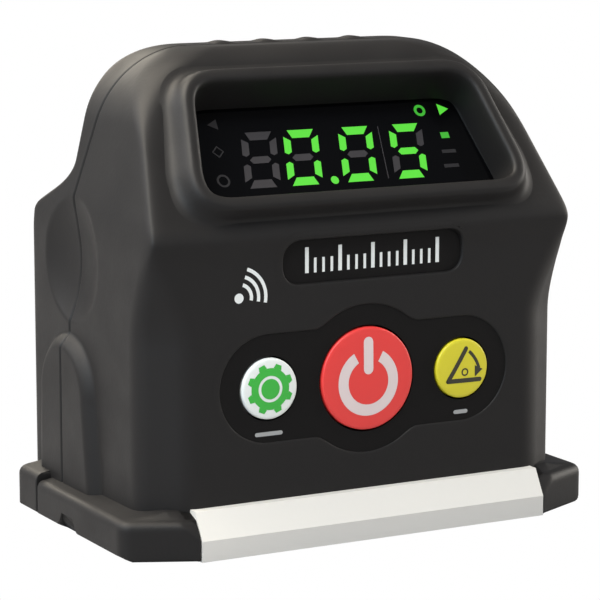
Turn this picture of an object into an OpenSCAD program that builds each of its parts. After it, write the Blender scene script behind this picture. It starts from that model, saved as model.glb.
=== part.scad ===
// Digital angle gauge: hooded two-shell housing on an aluminium reference base.
// Front faces -Y, the reference face lies on z = 0, X runs along the base.

/* [Base] */
// Length of the base over its two end blocks
base_len = 54.4; // [52:0.2:60]
// Depth of the base, front edge to rear edge
base_depth = 33; // [32:0.5:38]
// Length of the aluminium reference plate
plate_len = 40; // [36:0.5:42]
// Height of the plate's upper face
plate_h = 4.8; // [4.4:0.1:5.4]
// Height of the plate's upright edge, below its bevel
edge_h = 2.1; // [1.6:0.1:3]
// How far the bevel leans back
edge_bevel = 1.5; // [1:0.1:1.5]
// How far the cut corners run along the sides
corner_y = 3.4; // [2.4:0.1:4.4]
// Gap between the end blocks and the surface that the plate rests on
block_lift = 0.6; // [0.3:0.1:1]
// Height of the end blocks' outer edge
block_h = 4; // [3.2:0.1:4.2]
// Width of the pipe groove in the underside
groove_w = 4.6; // [3:0.1:5]
// Depth of the pipe groove
groove_h = 1.9; // [1:0.1:2]
// Diameter of the holding magnets
magnet_d = 7; // [5:0.5:8]
// Thickness of the holding magnets
magnet_h = 2; // [1.5:0.1:2.6]

/* [Housing] */
// Width of the housing across its sides
body_w = 48.8; // [48.4:0.1:50]
// Height of the housing's flat top
body_top = 49.3; // [48.6:0.1:51]
// Wall thickness of both shells
wall = 1.6; // [1.4:0.1:1.7]
// Distance from the middle plane to the front face
front_d = 14.05; // [13.8:0.05:14.4]
// Distance from the middle plane to the rear face
rear_d = 15; // [14.9:0.05:15.1]
// Width of the flat front face
face_w = 40.2; // [38.6:0.1:41]
// How far the front corner facets run back
facet_back = 3.3; // [2.8:0.1:4.4]
// Height at which the front starts to lean back
slope_z = 32.6; // [32.2:0.1:32.8]
// Angle of the leaning display face, from upright
tilt = 34.5; // [33:0.5:36]
// How far the hood's chin stands out over the front face
chin_out = 0.55; // [0.2:0.05:0.8]
// Height at which the sides start to lean in
taper_z = 31.6; // [31:0.1:32.6]
// Angle of the leaning sides, from upright
side_taper = 13.2; // [12:0.1:15]
// Radius of the crown, where the sides turn into the top
crown_r = 9.5; // [8:0.5:11]
// Height of the sloping shelf's lower edge at the rear
shelf_z = 32.3; // [32.2:0.1:33]
// Angle of the shelf, from level
shelf_angle = 25; // [22:0.5:28]
// Distance from the middle plane to the upper rear face
upper_rear = 7.2; // [7:0.1:8.4]
// Plane where the two shells meet, behind the middle plane
seam_y = 5; // [4.6:0.1:5.4]
// How far that joint leans forward above the shelf
seam_lean = 3.6; // [2:0.1:4]
// The same joint in the end blocks
block_seam_y = 7.8; // [6:0.1:9]

/* [Thumb dimples, arches and grip ribs] */
// Radius of the thumb dimple's rim
dimple_r = 6.5; // [5:0.1:7]
// Depth of the thumb dimples
dimple_depth = 1.1; // [0.6:0.1:1.1]
// Height of the dimples' middle
dimple_z = 27.6; // [27:0.1:28.4]
// Half width of the raised arches at their foot
arch_half = 6.4; // [5:0.1:7]
// Height of the arches' crest
arch_top = 19.6; // [17:0.1:20]
// How far the arches stand out
arch_out = 1.1; // [0.6:0.1:1.3]
// Width of the bevel round the arches
arch_bevel = 1.3; // [0.8:0.1:2]
// Distance from one grip rib to the next
rib_pitch = 5.2; // [4.6:0.1:6]
// Height of the grip ribs on the top
rib_h = 0.25; // [0.15:0.05:0.4]

/* [Hood and display] */
// How far the hood's rim stands off the leaning face
rim_h = 2.1; // [1.8:0.1:2.4]
// Depth of the window below the rim
window_depth = 4.1; // [3.9:0.1:4.4]
// Half width of the rim at its lower edge
rim_low = 19.9; // [19.4:0.1:20.2]
// Half width of the rim at its upper edge
rim_high = 17.1; // [16.6:0.1:17.4]
// Distance from the foot of the slope to the rim's lower edge
rim_start = 1; // [0.8:0.05:1.3]
// Distance from the rim's upper edge to the end of the slope
rim_end = 3.56; // [3.3:0.02:4]
// Width of the rim's front face
rim_w = 1.5; // [1.2:0.1:1.8]
// Thickness of the clear window
window_t = 1; // [0.8:0.1:1.2]
// Thickness of the display module
module_t = 3; // [2:0.1:3.2]

/* [Keys] */
// Height of the row of keys
key_z = 16.15; // [16:0.05:16.4]
// Distance from the middle key to each side key
key_x = 11.25; // [11:0.05:11.5]
// Radius of the middle key
power_r = 5.3; // [4.6:0.1:5.4]
// Radius of the side keys
side_r = 3.1; // [2.6:0.1:3.2]
// Radius of the overlay's middle lobe
lobe_r = 7.65; // [7.2:0.05:8]
// Radius of the overlay's end lobes
end_r = 5.5; // [5:0.1:5.6]
// Thickness of the overlay
overlay_t = 0.45; // [0.3:0.05:0.5]
// How far a key travels
key_travel = 0.4; // [0.2:0.05:0.5]
// How far a key's crown stands off the front face
key_proud = 0.3; // [0.2:0.05:0.4]

/* [Board and cells] */
// Thickness of the main board
board_t = 1.2; // [0.8:0.1:1.6]
// Gap between the main board and the side walls
board_gap = 2.8; // [2.4:0.1:3.2]
// Height of the main board
board_h = 20; // [19.6:0.1:20.4]
// Height of the key switches
switch_h = 1.6; // [1.2:0.1:2]
// Diameter of a cell
cell_d = 10.5; // [9.8:0.1:10.5]
// Play between a cell's ends and its contacts
cell_play = 0.35; // [0.3:0.05:0.8]
// Thickness of the battery cover
cover_t = 1.3; // [1:0.1:1.4]

/* [Hidden] */
$fn = 64;
far = 100;                       // reach of a cutter
skin = 0.02;                     // thickness of a slice inside a hull
seat = 0.1;                      // gap between pieces that seat on each other
key_gap = 0.2;                   // gap round a key
cover_gap = 0.2;                 // gap round the battery cover
corner_x = (base_len - plate_len) / 2;
half_depth = base_depth / 2;
plate_end = plate_len / 2;
body_half = body_w / 2;

// Crown: arc that is tangent to the leaning side and to the top
crown_tangent = crown_r / tan((90 + side_taper) / 2);
crown_x = body_half - (body_top - taper_z) * tan(side_taper) - crown_tangent;
crown_z = body_top - crown_r;
brow_r = 1.6;                    // rounding of the front edge of the top
nape_r = 2.6;                    // rounding of the rear edge of the top
nose_z = slope_z - chin_out / tan(tilt);                     // height of the chin's foremost edge
chin_rise = 3.3;                 // height over which the front face runs out to the chin
facet_fade = nose_z - 11;        // height at which the corner facets start to close
ridge = 1;                       // size of the corner facets where they have closed
ridge_top = 2.2;                 // the same at the top
shelf_top = shelf_z + (rear_d - upper_rear) * tan(shelf_angle);
seam_knee = shelf_z + 1;         // height at which the joint of the shells starts to lean
facet_round = 1.2;
rear_round = 2;
loft_foot = block_h - 1;         // the loft starts inside the end blocks
corner_share = 2 - sqrt(2);      // share of an inset that a 45 degree facet loses

front_floor = 1.2;
rear_floor = 3;
floor_top = plate_h + rear_floor;

// Depths, counted from the middle plane towards the rear
board_front = -front_d + wall + 0.75 + key_travel + 0.05 + switch_h;
board_rear = board_front + board_t;
flange_t = 0.6;
flange_gap = 0.15;
flange_w = 0.6;
cover_in = rear_d - cover_t;
cell_r = cell_d / 2;
cell_y = cover_in - seat - cell_r;
cell_low_z = floor_top + seat + cell_r;
cell_high_z = cell_low_z + cell_d + seat;
bay_top = cell_high_z + cell_r + seat;
bay_half = body_half - wall;
board_half = bay_half - board_gap;
contact_t = 0.2;                 // thickness of the contact plates
contact_w = 7;                   // width and height of the contact plates
cell_len = 2 * (bay_half - contact_t - cell_play);           // length of a cell, with its button
bay_front = cell_y - cell_r - 2 * seat;
partition_t = 1;
ledge = 1.2;                     // ledge that the battery cover rests on

screw_r = 1.2;
screw_head_r = 2.3;
screw_head_h = 1.1;
screw_top = floor_top - 0.4;
screw_x = plate_end - 3.4;
screw_y = 7;
magnet_x = 10;
magnet_y = 9.6;
boss_r = 2.4;
boss_top = screw_top + 0.6;
board_low = boss_top + 2 * seat;

post_r = 1.7;
post_x = board_half - 2.5;
post_inset = 2.2;
pin_r = 0.75;
pin_head_r = 1.5;

shell_screw_x = 11;
shell_screw_z = body_top - 4.3;
shell_seam_y = seam_at(shell_screw_z);
shell_screw_r = 0.9;
shell_head_r = 1.5;
shell_boss_r = 2.1;

slope_len = (body_top - slope_z) / cos(tilt);
rim_len = slope_len - rim_start - rim_end;
open_low = rim_low - rim_w - 0.2;
open_high = rim_high - rim_w + 0.1;
open_start = rim_start + rim_w;
open_len = rim_len - 2 * rim_w - 0.9;
window_h = rim_h - window_depth; // window's front, from the leaning face
lip = 1;                         // how far the window laps behind its opening
tub_t = 1.2;                     // wall of the window's tub
tub_h = 0.4;                     // how far the tub reaches behind the window's front
gasket_t = 0.4;

// Half width of the housing at height z, drawn in by d
function side_at(z, d) =
    let (arc_r = crown_r - d, arc_z = crown_z + arc_r * sin(side_taper))
    z > arc_z ? crown_x + sqrt(max(0, arc_r * arc_r - pow(z - crown_z, 2)))
    : min(body_half - d, body_half - (z - taper_z) * tan(side_taper) - d / cos(side_taper));

// How much a rounded upper edge of radius r draws in at height z
function rounded_in(z, r, d) =
    let (up = z - (body_top - d - r))
    up > 0 ? r - sqrt(max(0, r * r - up * up)) : 0;

// 0 to 1 with level ends
function ease(t) =
    let (u = max(0, min(1, t)))
    u * u * (3 - 2 * u);

// Front of the housing: upright face that runs out to the chin, then the leaning display face
function front_at(z, d) =
    let (out = chin_out * ease((z - nose_z + chin_rise) / chin_rise))
    max(-front_d - out + d, -front_d + (z - slope_z) * tan(tilt) + d / cos(tilt)) + rounded_in(z, brow_r, d);

// Rear of the housing: upright face, sloping shelf, upper face
function rear_at(z, d) =
    min(rear_d - d, max(upper_rear - d, rear_d - (z - shelf_z) / tan(shelf_angle) - d / sin(shelf_angle)))
    - rounded_in(z, nape_r, d);

// Share by which the front corner facets have closed at height z
function closed_at(z) = ease((z - facet_fade) / (nose_z - facet_fade));

// Size of the closed facets, which widen towards the top
function ridge_at(z) = mix(ridge, ridge_top, ease((z - crown_z) / (body_top - crown_z)));

// Depth of the joint of the shells at height z
function seam_at(z) = seam_y - seam_lean * max(0, z - seam_knee) / (body_top - seam_knee);

function mix(a, b, t) = a + (b - a) * t;
function spread(a, b, n) = [for (i = [0 : n - 1]) mix(a, b, i / n)];

// Corner b between a and c, rounded by a quadratic curve of n steps
function blend(a, b, c, r, n) =
    let (ta = min(0.48, r / norm(a - b)), tc = min(0.48, r / norm(c - b)))
    [for (i = [0 : n])
        let (u = i / n, p = mix(b, a, ta), q = mix(b, c, tc))
        mix(mix(p, b, u), mix(b, q, u), u)];

function round_all(pts, radii, n) =
    [for (i = [0 : len(pts) - 1])
        each blend(pts[(i + len(pts) - 1) % len(pts)], pts[i], pts[(i + 1) % len(pts)], radii[i], n)];

// Level section of the housing: a rectangle with two cut front corners
function section_at(z, d) =
    let (
        w = side_at(z, d),
        f = front_at(z, d),
        r = rear_at(z, d),
        open_x = body_half - face_w / 2 - corner_share * d,
        open_y = facet_back - corner_share * d,
        cut_x = mix(open_x, ridge_at(z), closed_at(z)),
        cut_y = mix(open_y, ridge_at(z), closed_at(z)),
        corners = [[w - cut_x, f], [w, f + cut_y], [w, r], [-w, r], [-w, f + cut_y], [-w + cut_x, f]],
        radii = [facet_round, facet_round, rear_round, rear_round, facet_round, facet_round]
    )
    round_all(corners, radii, 3);

// Heights of the sections, closer where the form bends
function levels(low, d) =
    let (arc_r = crown_r - d)
    concat(
        spread(low, facet_fade, 1),
        spread(facet_fade, nose_z - chin_rise, 5),
        spread(nose_z - chin_rise, nose_z, 4),
        spread(nose_z, shelf_z, 1),
        spread(shelf_z, shelf_top, 4),
        spread(shelf_top, crown_z + arc_r * sin(side_taper), 3),
        [for (i = [0 : 7]) crown_z + arc_r * sin(mix(side_taper, 90, i / 7))]
    );

// Solid through the level sections, from height low to the top
module loft(low, d) {
    heights = levels(low, d);
    rings = [for (z = heights) section_at(z, d)];
    n = len(rings[0]);
    last = len(heights) - 1;
    points = [for (k = [0 : last]) each [for (p = rings[k]) [p[0], p[1], heights[k]]]];
    sides = [for (k = [0 : last - 1]) each [for (i = [0 : n - 1])
        [k * n + i, (k + 1) * n + i, (k + 1) * n + (i + 1) % n, k * n + (i + 1) % n]]];
    foot = [for (i = [0 : n - 1]) i];
    top = [for (i = [n - 1 : -1 : 0]) last * n + i];
    polyhedron(points, concat([foot], sides, [top]), convexity = 6);
}

// Frame of the leaning face: x across, y up the slope, z out of it
module on_slope() {
    translate([0, -front_d, slope_z])
        rotate([90 - tilt, 0, 0])
            children();
}

// Trapezium with rounded corners, from its lower edge at y = start
module trapezium(low, high, start, length, r_low, r_high) {
    corners = [[low, start], [high, start + length], [-high, start + length], [-low, start]];
    polygon(round_all(corners, [r_low, r_high, r_high, r_low], 6));
}

module rim_outline(in = 0) {
    trapezium(rim_low - in, rim_high - in, rim_start + in, rim_len - 2 * in, 3.6, 2.6);
}

module window_outline(out = 0) {
    trapezium(open_low + out, open_high + out, open_start - out, open_len + 2 * out, 2.4, 1.6);
}

// Hood: flanks that rise from the edge of the leaning face to the rim
module hood() {
    foot_half = side_at(slope_z + 2, 0) - 1.4;
    on_slope()
        hull() {
            translate([0, 0, -wall / 2])
                linear_extrude(wall / 4)
                    trapezium(foot_half, rim_high - 0.6, rim_start - 0.4, slope_len - rim_start - 0.7, 3, 5);
            translate([0, 0, rim_h - 0.3])
                linear_extrude(skin)
                    rim_outline();
            translate([0, 0, rim_h - skin])
                linear_extrude(skin)
                    rim_outline(0.3);
        }
}

// Base outline: rectangle with cut corners
module base_outline() {
    x = base_len / 2;
    y = half_depth;
    cx = corner_x;
    cy = corner_y;
    polygon([
        [x, -y + cy], [x, y - cy], [x - cx, y], [-x + cx, y],
        [-x, y - cy], [-x, -y + cy], [-x + cx, -y], [x - cx, -y]
    ]);
}

// Black blocks at the two ends of the base, with a sloping upper face
module end_blocks() {
    difference() {
        hull() {
            translate([0, 0, block_lift])
                linear_extrude(block_h - block_lift)
                    base_outline();
            translate([0, 0, block_h])
                linear_extrude(plate_h - block_h)
                    square([plate_len + 1, base_depth - 2 * edge_bevel - 1], center = true);
        }
        plate_room();
        groove();
    }
}

// Room for the aluminium plate, under the shells and between the blocks
module plate_room() {
    translate([-plate_end - seat, -far / 2, -1])
        cube([plate_len + 2 * seat, far, plate_h + 1]);
}

// Groove for a pipe or a shaft along the underside
module groove() {
    half = groove_w / 2;
    rotate([90, 0, 90])
        linear_extrude(far, center = true)
            polygon([
                [-half, -1], [-half, 0.4], [-half + groove_h * 0.6, groove_h],
                [half - groove_h * 0.6, groove_h], [half, 0.4], [half, -1]
            ]);
}

// Outline of an arch that stands on the end block
module arch_outline(in) {
    r = arch_half - in;
    translate([seam_y, arch_top - arch_half])
        circle(r, $fn = 40);
    translate([seam_y - r, 0])
        square([2 * r, arch_top - arch_half]);
}

// Raised arch on each side
module arches() {
    for (s = [-1, 1])
        intersection() {
            hull() {
                translate([s * (body_half - 1), 0, 0])
                    rotate([90, 0, 90])
                        linear_extrude(skin)
                            arch_outline(-arch_bevel * 0.9);
                translate([s * (body_half + arch_out), 0, 0])
                    rotate([90, 0, 90])
                        linear_extrude(skin)
                            arch_outline(arch_bevel * 0.1);
            }
            translate([-far / 2, -far / 2, block_lift + 1])
                cube(far);
        }
}

// Thumb dimples: shallow spherical cuts across the joint of the shells
module dimples() {
    ball_r = (dimple_r * dimple_r + dimple_depth * dimple_depth) / (2 * dimple_depth);
    for (s = [-1, 1])
        translate([s * (body_half - dimple_depth + ball_r), seam_y - 0.7, dimple_z])
            rotate([0, 90, 0])
                sphere(ball_r, $fn = 50);
}

// Low grip ribs across the flat top
module grip_ribs() {
    rib_half = 1.2;
    y_front = seam_at(body_top) + rib_half + 0.2;
    y_rear = rear_at(body_top, 0) - rib_half - 0.1;
    for (i = [-1.5 : 1.5])
        translate([i * rib_pitch, 0, 0])
            hull()
                for (y = [y_front, y_rear])
                    translate([0, y, body_top - rib_h])
                        cylinder(h = 2 * rib_h, r1 = rib_half, r2 = rib_half * 0.5, $fn = 16);
}

// Outer form of the housing, before it is parted and hollowed
module housing_form() {
    difference() {
        union() {
            difference() {
                loft(loft_foot, 0);
                dimples();
            }
            end_blocks();
            arches();
            hood();
            grip_ribs();
        }
        plate_room();
    }
}

// Space behind the joint of the shells
module rear_half() {
    step_z = plate_h - 0.4;
    rotate([90, 0, 90])
        linear_extrude(far, center = true)
            polygon([
                [seam_at(far), far], [seam_y, seam_knee], [seam_y, step_z], [block_seam_y, step_z],
                [block_seam_y, -1], [far, -1], [far, far]
            ]);
}

// Larger of a and b, with the step between them filled over the span k
function soft_max(a, b, k) =
    let (h = max(k - abs(a - b), 0) / k)
    max(a, b) + h * h * k / 4;

// Half height of the keypad at x: a bar with round ends, and a larger lobe in the middle
function keypad_half(x, out) =
    let (bar = end_r + out, lobe = lobe_r + out, past = max(0, abs(x) - key_x))
    soft_max(sqrt(max(0, bar * bar - past * past)), sqrt(max(0, lobe * lobe - x * x)), 0.8);

// Keypad outline, widened by out
module keypad_outline(out = 0) {
    steps = 44;
    span = key_x + end_r + out;
    upper = [for (i = [0 : steps]) let (x = span * cos(180 * i / steps)) [x, keypad_half(x, out)]];
    lower = [for (i = [1 : steps - 1]) let (x = -span * cos(180 * i / steps)) [x, -keypad_half(x, out)]];
    polygon(concat(upper, lower));
}

// Turns a drawing in the front plane: x across, y up, z out of the front face
module on_front() {
    translate([0, -front_d, key_z])
        rotate([90, 0, 0])
            children();
}

module key_places() {
    on_front() {
        children(0);
        for (s = [-1, 1])
            translate([s * key_x, 0, 0])
                children(1);
    }
}

// Holes for the three keys, as deep as the wall
module key_holes() {
    key_places() {
        translate([0, 0, -wall - 1])
            cylinder(h = wall + 2, r = power_r + key_gap);
        translate([0, 0, -wall - 1])
            cylinder(h = wall + 2, r = side_r + key_gap, $fn = 48);
    }
}

// Bare name-plate recess above the keys
module plate_recess() {
    plate_half = 10.4;
    plate_low = 26.4;
    plate_tall = 4.4;
    end_round = 1.9;
    recess = 0.3;
    translate([0, -front_d + recess, 0])
        rotate([90, 0, 0])
            hull()
                for (x = [-1, 1], z = [plate_low + end_round, plate_low + plate_tall - end_round])
                    translate([x * (plate_half - end_round), z, 0])
                        cylinder(h = 2, r = end_round, $fn = 24);
}

// Posts that carry the main board, standing on the inside of the front wall
module board_posts(r) {
    for (x = [-post_x, post_x], z = [board_low + post_inset, board_low + board_h - post_inset])
        translate([x, board_front, z])
            rotate([90, 0, 0])
                cylinder(h = front_d + board_front - wall / 2, r = r, $fn = 24);
}

module base_screw_places() {
    for (x = [-screw_x, screw_x], y = [-screw_y, screw_y])
        translate([x, y, 0])
            children();
}

module shell_screw_places() {
    for (x = [-shell_screw_x, shell_screw_x])
        translate([x, 0, shell_screw_z])
            rotate([90, 0, 0])
                children();
}

// Hollow of the front shell, less what stands in it
module front_hollow() {
    difference() {
        loft(plate_h + front_floor, wall);
        rear_half();
        on_slope()
            translate([0, 0, window_h - tub_h])
                linear_extrude(rim_h)
                    window_outline(lip + tub_t);
        board_posts(post_r);
        for (x = [-screw_x, screw_x])
            translate([x, -screw_y, 0])
                cylinder(h = boss_top, r = boss_r, $fn = 32);
        shell_screw_places()
            translate([0, 0, -shell_seam_y - 1])
                hull() {
                    cylinder(h = 4, r = shell_boss_r, $fn = 24);
                    translate([0, shell_boss_r + 2.4, 0])
                        cylinder(h = 4, r = shell_boss_r, $fn = 24);
                }
    }
}

// Front shell: face, hood, front of the sides, top and end blocks
module front_shell() {
    color([0.2, 0.2, 0.2])
        difference() {
            housing_form();
            rear_half();
            front_hollow();
            on_slope()
                translate([0, 0, window_h - 1])
                    linear_extrude(far / 10)
                        window_outline();
            on_slope()
                translate([0, 0, window_h - 6])
                    linear_extrude(6)
                        window_outline(lip + 2 * seat);
            on_front()
                translate([0, 0, -overlay_t - 2 * seat])
                    linear_extrude(2)
                        keypad_outline(2 * seat);
            key_holes();
            plate_recess();
            board_posts(pin_r + seat);
            base_screw_places()
                cylinder(h = screw_top + 0.2, r = screw_r + seat, $fn = 24);
            shell_screw_places()
                translate([0, 0, -shell_seam_y - 1])
                    cylinder(h = 3.6, r = shell_screw_r + seat, $fn = 24);
        }
}

// Hollow of the rear shell: battery bay below, open space above
module rear_hollow() {
    translate([-bay_half, bay_front, floor_top])
        cube([2 * bay_half, rear_d - bay_front - cover_t, bay_top - floor_top]);
    translate([-bay_half - cover_gap, cover_in, floor_top - ledge])
        cube([2 * (bay_half + cover_gap), far, bay_top - floor_top + 2 * ledge]);
    intersection() {
        loft(plate_h, wall);
        translate([-far / 2, 0, bay_top + partition_t])
            cube(far);
    }
}

// Partition between the cells and the board, with its roof and floor
module bay_partition() {
    width = 2 * (bay_half - 2 * seat);
    foot = plate_h + front_floor + 2 * seat;
    roof = bay_top + partition_t - seat;
    reach = seam_y - bay_front + partition_t + 1;
    translate([-width / 2, bay_front - partition_t, foot])
        cube([width, partition_t, roof - foot]);
    translate([-width / 2, bay_front - partition_t, bay_top + seat])
        cube([width, reach, roof - bay_top - seat]);
    translate([-width / 2, bay_front - partition_t, foot])
        cube([width, reach, floor_top - foot - seat]);
}

// Rear shell: rear of the sides and top, shelf, battery bay and end blocks
module rear_shell() {
    color([0.19, 0.19, 0.19])
        difference() {
            union() {
                intersection() {
                    housing_form();
                    rear_half();
                }
                bay_partition();
            }
            difference() {
                rear_hollow();
                shell_screw_places()
                    translate([0, 0, -upper_rear])
                        cylinder(h = upper_rear, r = shell_boss_r, $fn = 24);
            }
            base_screw_places()
                cylinder(h = screw_top + 0.2, r = screw_r + seat, $fn = 24);
            shell_screw_places()
                translate([0, 0, -upper_rear - 1])
                    cylinder(h = far / 10, r = shell_screw_r + seat, $fn = 24);
            shell_screw_places()
                translate([0, 0, -upper_rear - 1])
                    cylinder(h = 2.2, r = shell_head_r + 2 * seat, $fn = 24);
            for (s = [-1, 1])
                translate([s * 5, rear_d, bay_top + ledge])
                    rotate([90, 0, 0])
                        hull() {
                            cylinder(h = 0.8, r = 1.2, center = true, $fn = 24);
                            translate([-s * 5, 0, 0])
                                cylinder(h = 0.8, r = 1.2, center = true, $fn = 24);
                        }
        }
}

// Aluminium reference plate with bevelled edges, grooved underside and pockets
module base_plate() {
    color([0.86, 0.86, 0.84])
        difference() {
            rotate([90, 0, 90])
                linear_extrude(plate_len, center = true)
                    polygon([
                        [-half_depth, 0], [half_depth, 0], [half_depth, edge_h],
                        [half_depth - edge_bevel, plate_h], [-half_depth + edge_bevel, plate_h],
                        [-half_depth, edge_h]
                    ]);
            groove();
            base_screw_places() {
                translate([0, 0, -1])
                    cylinder(h = plate_h + 2, r = screw_r + seat);
                translate([0, 0, -1])
                    cylinder(h = screw_head_h + 2 * seat + 1, r = screw_head_r + seat);
            }
            magnet_places()
                translate([0, 0, -1])
                    cylinder(h = magnet_h + 2 * seat + 1, d = magnet_d + 2 * seat);
        }
}

module magnet_places() {
    for (x = [-magnet_x, magnet_x], y = [-magnet_y, magnet_y])
        translate([x, y, 0])
            children();
}

// Disc magnets, just below the reference face
module base_magnets() {
    color([0.7, 0.71, 0.73])
        magnet_places()
            translate([0, 0, seat])
                cylinder(h = magnet_h, d = magnet_d);
}

// Screws that hold the plate to both shells, from below
module base_screws() {
    color([0.55, 0.55, 0.56])
        base_screw_places() {
            translate([0, 0, seat])
                cylinder(h = screw_head_h, r = screw_head_r);
            translate([0, 0, seat])
                cylinder(h = screw_top - seat, r = screw_r);
        }
}

// Screws that hold the shells together, from the rear
module shell_screws() {
    head_y = upper_rear - 1.2;
    shank = head_y - shell_seam_y + 2.4;
    color([0.5, 0.5, 0.5])
        shell_screw_places() {
            translate([0, 0, -head_y - 0.9])
                cylinder(h = 0.9, r = shell_head_r);
            translate([0, 0, -head_y])
                cylinder(h = shank, r = shell_screw_r);
        }
}

// Lift-off cover of the battery bay, flush with the rear face
module battery_cover() {
    half = bay_half;
    low = floor_top - ledge + cover_gap;
    tall = bay_top - floor_top + 2 * ledge - 2 * cover_gap;
    notch_r = 5;
    color([0.18, 0.18, 0.18])
        difference() {
            translate([-half, cover_in, low])
                cube([2 * half, cover_t, tall]);
            translate([0, rear_d + notch_r * 0.86, low + tall - 3.4])
                rotate([0, 90, 0])
                    cylinder(h = 12, r = notch_r, center = true);
            for (i = [0 : 2])
                translate([0, rear_d, low + 2.2 + i * 1.4])
                    cube([16, 0.5, 0.6], center = true);
        }
}

// Clear window behind the hood's opening
module display_window() {
    color([0.05, 0.05, 0.06])
        on_slope()
            translate([0, 0, window_h - gasket_t - window_t])
                linear_extrude(window_t)
                    window_outline(lip);
}

// Thin gasket between the window and the tub
module window_gasket() {
    color([0.1, 0.1, 0.1])
        on_slope()
            translate([0, 0, window_h - gasket_t])
                linear_extrude(gasket_t)
                    difference() {
                        window_outline(lip);
                        window_outline(0.15);
                    }
}

// Display module on the back of the window
module display_module() {
    color([0.12, 0.13, 0.13])
        on_slope()
            translate([0, 0, window_h - gasket_t - window_t - module_t])
                linear_extrude(module_t)
                    window_outline(lip - 0.4);
}

// Flat ribbon from the display module to the rear of the main board
module display_ribbon() {
    ribbon_half = 8;
    ribbon_t = 0.3;
    back = window_h - gasket_t - window_t - module_t;
    up = open_start + 2;
    start_y = -front_d + up * sin(tilt) - back * cos(tilt);
    start_z = slope_z + up * cos(tilt) + back * sin(tilt);
    end_z = board_low + board_h - 2;
    color([0.75, 0.5, 0.15])
        rotate([90, 0, 90])
            linear_extrude(2 * ribbon_half, center = true)
                polygon([
                    [start_y, start_z], [start_y + 1.2, start_z - 2.2], [board_rear + 1.6, end_z + 1.2],
                    [board_rear, end_z], [board_rear, end_z - 3], [board_rear + ribbon_t, end_z - 3],
                    [board_rear + ribbon_t, end_z - 0.2], [board_rear + 1.9, end_z + 1],
                    [start_y + 1.6, start_z - 2.2],
                    [start_y + 2 * ribbon_t * sin(tilt), start_z + 2 * ribbon_t * cos(tilt)]
                ]);
}

// Keypad overlay, let into the front face
module keypad_overlay() {
    color([0.13, 0.13, 0.13])
        difference() {
            on_front()
                translate([0, 0, -overlay_t - seat])
                    linear_extrude(overlay_t)
                        keypad_outline();
            key_holes();
        }
}

// Domed key with a flange behind the front wall
module key(r) {
    crown = key_proud;
    low = -wall - flange_gap;
    rotate_extrude()
        polygon([
            [0, low - flange_t], [r + flange_w, low - flange_t], [r + flange_w, low], [r, low],
            [r, 0.02], [r - 0.3, crown * 0.55], [r * 0.6, crown * 0.9], [0, crown]
        ]);
}

module power_key() {
    color([0.86, 0.3, 0.27])
        on_front()
            key(power_r);
}

module hold_key() {
    color([0.93, 0.95, 0.93])
        on_front()
            translate([-key_x, 0, 0])
                key(side_r);
}

module zero_key() {
    color([0.9, 0.85, 0.25])
        on_front()
            translate([key_x, 0, 0])
                key(side_r);
}

// Switches under the three keys, on the front of the board
module key_switches() {
    body = 4.5;
    button_r = 1.3;
    button_h = 0.5;
    color([0.3, 0.3, 0.32])
        for (x = [-key_x, 0, key_x])
            translate([x, board_front, key_z])
                rotate([90, 0, 0]) {
                    translate([-body / 2, -body / 2, 0])
                        cube([body, body, switch_h - button_h]);
                    cylinder(h = switch_h, r = button_r);
                }
}

// Main board, drilled for its screws
module main_board() {
    color([0.1, 0.35, 0.2])
        difference() {
            translate([-board_half, board_front, board_low])
                cube([2 * board_half, board_t, board_h]);
            pin_places()
                translate([0, 0, -far / 2])
                    cylinder(h = far, r = pin_r + seat);
        }
}

module pin_places() {
    for (x = [-post_x, post_x], z = [board_low + post_inset, board_low + board_h - post_inset])
        translate([x, board_rear, z])
            rotate([90, 0, 0])
                children();
}

// Screws that hold the main board to its posts
module board_screws() {
    head = 0.8;
    shank = 3.2;
    color([0.6, 0.6, 0.6])
        pin_places() {
            translate([0, 0, -head])
                cylinder(h = head, r = pin_head_r);
            cylinder(h = shank, r = pin_r);
        }
}

// Flat package on the rear of the board
module chip(x, z, w, h, t) {
    translate([x - w / 2, board_rear, z - h / 2])
        cube([w, t, h]);
}

module tilt_sensor() {
    sensor_w = 5;
    sensor_t = 1.4;
    sensor_up = 4;
    color([0.15, 0.15, 0.16])
        chip(0, board_low + sensor_up, sensor_w, sensor_w, sensor_t);
}

module controller_chip() {
    chip_w = 7;
    chip_t = 1;
    chip_x = -9;
    chip_up = 9;
    color([0.12, 0.12, 0.13])
        chip(chip_x, board_low + chip_up, chip_w, chip_w, chip_t);
}

module radio_module() {
    shield_w = 9;
    shield_h = 11;
    shield_t = 1.6;
    shield_x = 9;
    shield_up = 8.5;
    color([0.7, 0.7, 0.68])
        chip(shield_x, board_low + shield_up, shield_w, shield_h, shield_t);
}

// Dry cell lying along X, its button towards s
module cell(z, s) {
    button_h = 0.8;
    button_r = 1.9;
    translate([0, cell_y, z])
        rotate([0, s * 90, 0]) {
            translate([0, 0, -cell_len / 2])
                cylinder(h = cell_len - button_h, r = cell_r);
            cylinder(h = cell_len / 2, r = button_r);
        }
}

module lower_cell() {
    color([0.25, 0.3, 0.5])
        cell(cell_low_z, 1);
}

module upper_cell() {
    color([0.25, 0.3, 0.5])
        cell(cell_high_z, -1);
}

// Contact plates on the side walls of the battery bay
module cell_contacts() {
    color([0.78, 0.72, 0.5])
        for (s = [-1, 1], z = [cell_low_z, cell_high_z])
            translate([s * (bay_half - contact_t / 2), cell_y, z])
                cube([contact_t, contact_w, contact_w], center = true);
}

base_plate();
base_magnets();
base_screws();
front_shell();
rear_shell();
shell_screws();
battery_cover();
display_window();
display_module();
display_ribbon();
keypad_overlay();
power_key();
hold_key();
zero_key();
key_switches();
main_board();
board_screws();
tilt_sensor();
controller_chip();
radio_module();
lower_cell();
upper_cell();
cell_contacts();
window_gasket();
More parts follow.
